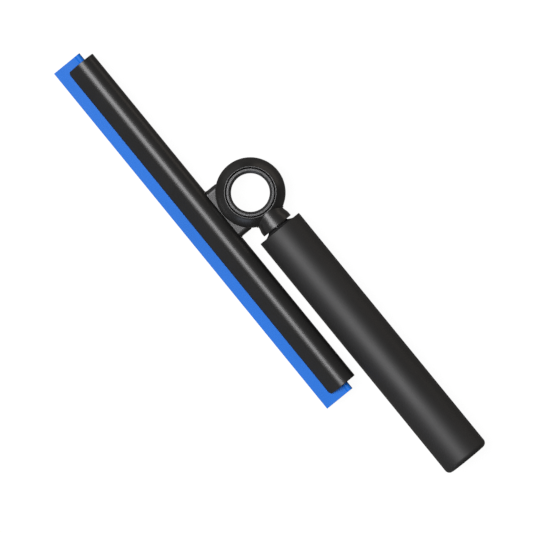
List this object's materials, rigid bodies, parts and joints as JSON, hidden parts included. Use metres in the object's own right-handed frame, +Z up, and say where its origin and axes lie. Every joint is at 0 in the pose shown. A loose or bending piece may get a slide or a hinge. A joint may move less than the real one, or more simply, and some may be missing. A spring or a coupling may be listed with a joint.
{
  "type": "window cleaning squeegee",
  "caption": "Folding window squeegee: silicone blade in a straight channel, hinged at a hollow round hub to a swivelling cylindrical handle; the hub's hole hangs it up.",
  "frame": {"origin": "middle of the bottom of the whole squeegee's box, as it lies flat and folded", "axes": "+X along the handle towards its free end, parallel to the blade; +Y from the blade's edge towards the hub; +Z up, along the hub's axis"},
  "size_m": [0.324, 0.065, 0.0287],
  "materials": {
    "satin_black_plastic": "satin moulded plastic with a fine grain",
    "soft_black_grip": "matte soft-touch rubber",
    "blue_silicone": "smooth matte silicone",
    "satin_grey_hub": "satin moulded plastic, slightly polished by use",
    "polished_dark_metal": "polished dark plating",
    "plain_steel": "zinc-plated steel",
    "natural_nylon": "natural nylon",
    "grey_core_plastic": "plain moulded plastic"
  },
  "bodies": {
    "handle": {"grip_sleeve": "soft_black_grip", "core_tube": "grey_core_plastic", "front_plug": "grey_core_plastic", "plug_screw": "plain_steel", "end_plug": "grey_core_plastic", "collar": "polished_dark_metal", "swivel_pin": "plain_steel", "pin_washer": "plain_steel", "pin_nut": "plain_steel"},
    "yoke": {"yoke_upper": "satin_black_plastic", "yoke_lower": "satin_black_plastic", "yoke_screw_1": "plain_steel", "yoke_screw_2": "plain_steel", "hub_upper": "satin_grey_hub", "hub_lower": "satin_grey_hub", "preload_spring": "plain_steel", "friction_washer_upper": "natural_nylon", "friction_washer_lower": "natural_nylon", "swivel_bush": "natural_nylon", "thrust_washer": "plain_steel"},
    "head": {"blade_channel": "satin_black_plastic", "squeegee_blade": "blue_silicone", "head_bracket": "satin_black_plastic", "bracket_screw_1": "plain_steel", "bracket_screw_2": "plain_steel"}
  },
  "joints": [
    {"name": "handle_swivel", "type": "hinge", "parent": "handle", "child": "yoke", "pos_m": [-0.0124, 0.0121, 0.01435], "axis": [1, 0, 0], "continuous": true},
    {"name": "fold_hinge", "type": "hinge", "parent": "yoke", "child": "head", "pos_m": [-0.037, 0.0121, 0.01435], "axis": [0, 0, -1], "range_deg": [0, 180]}
  ]
}
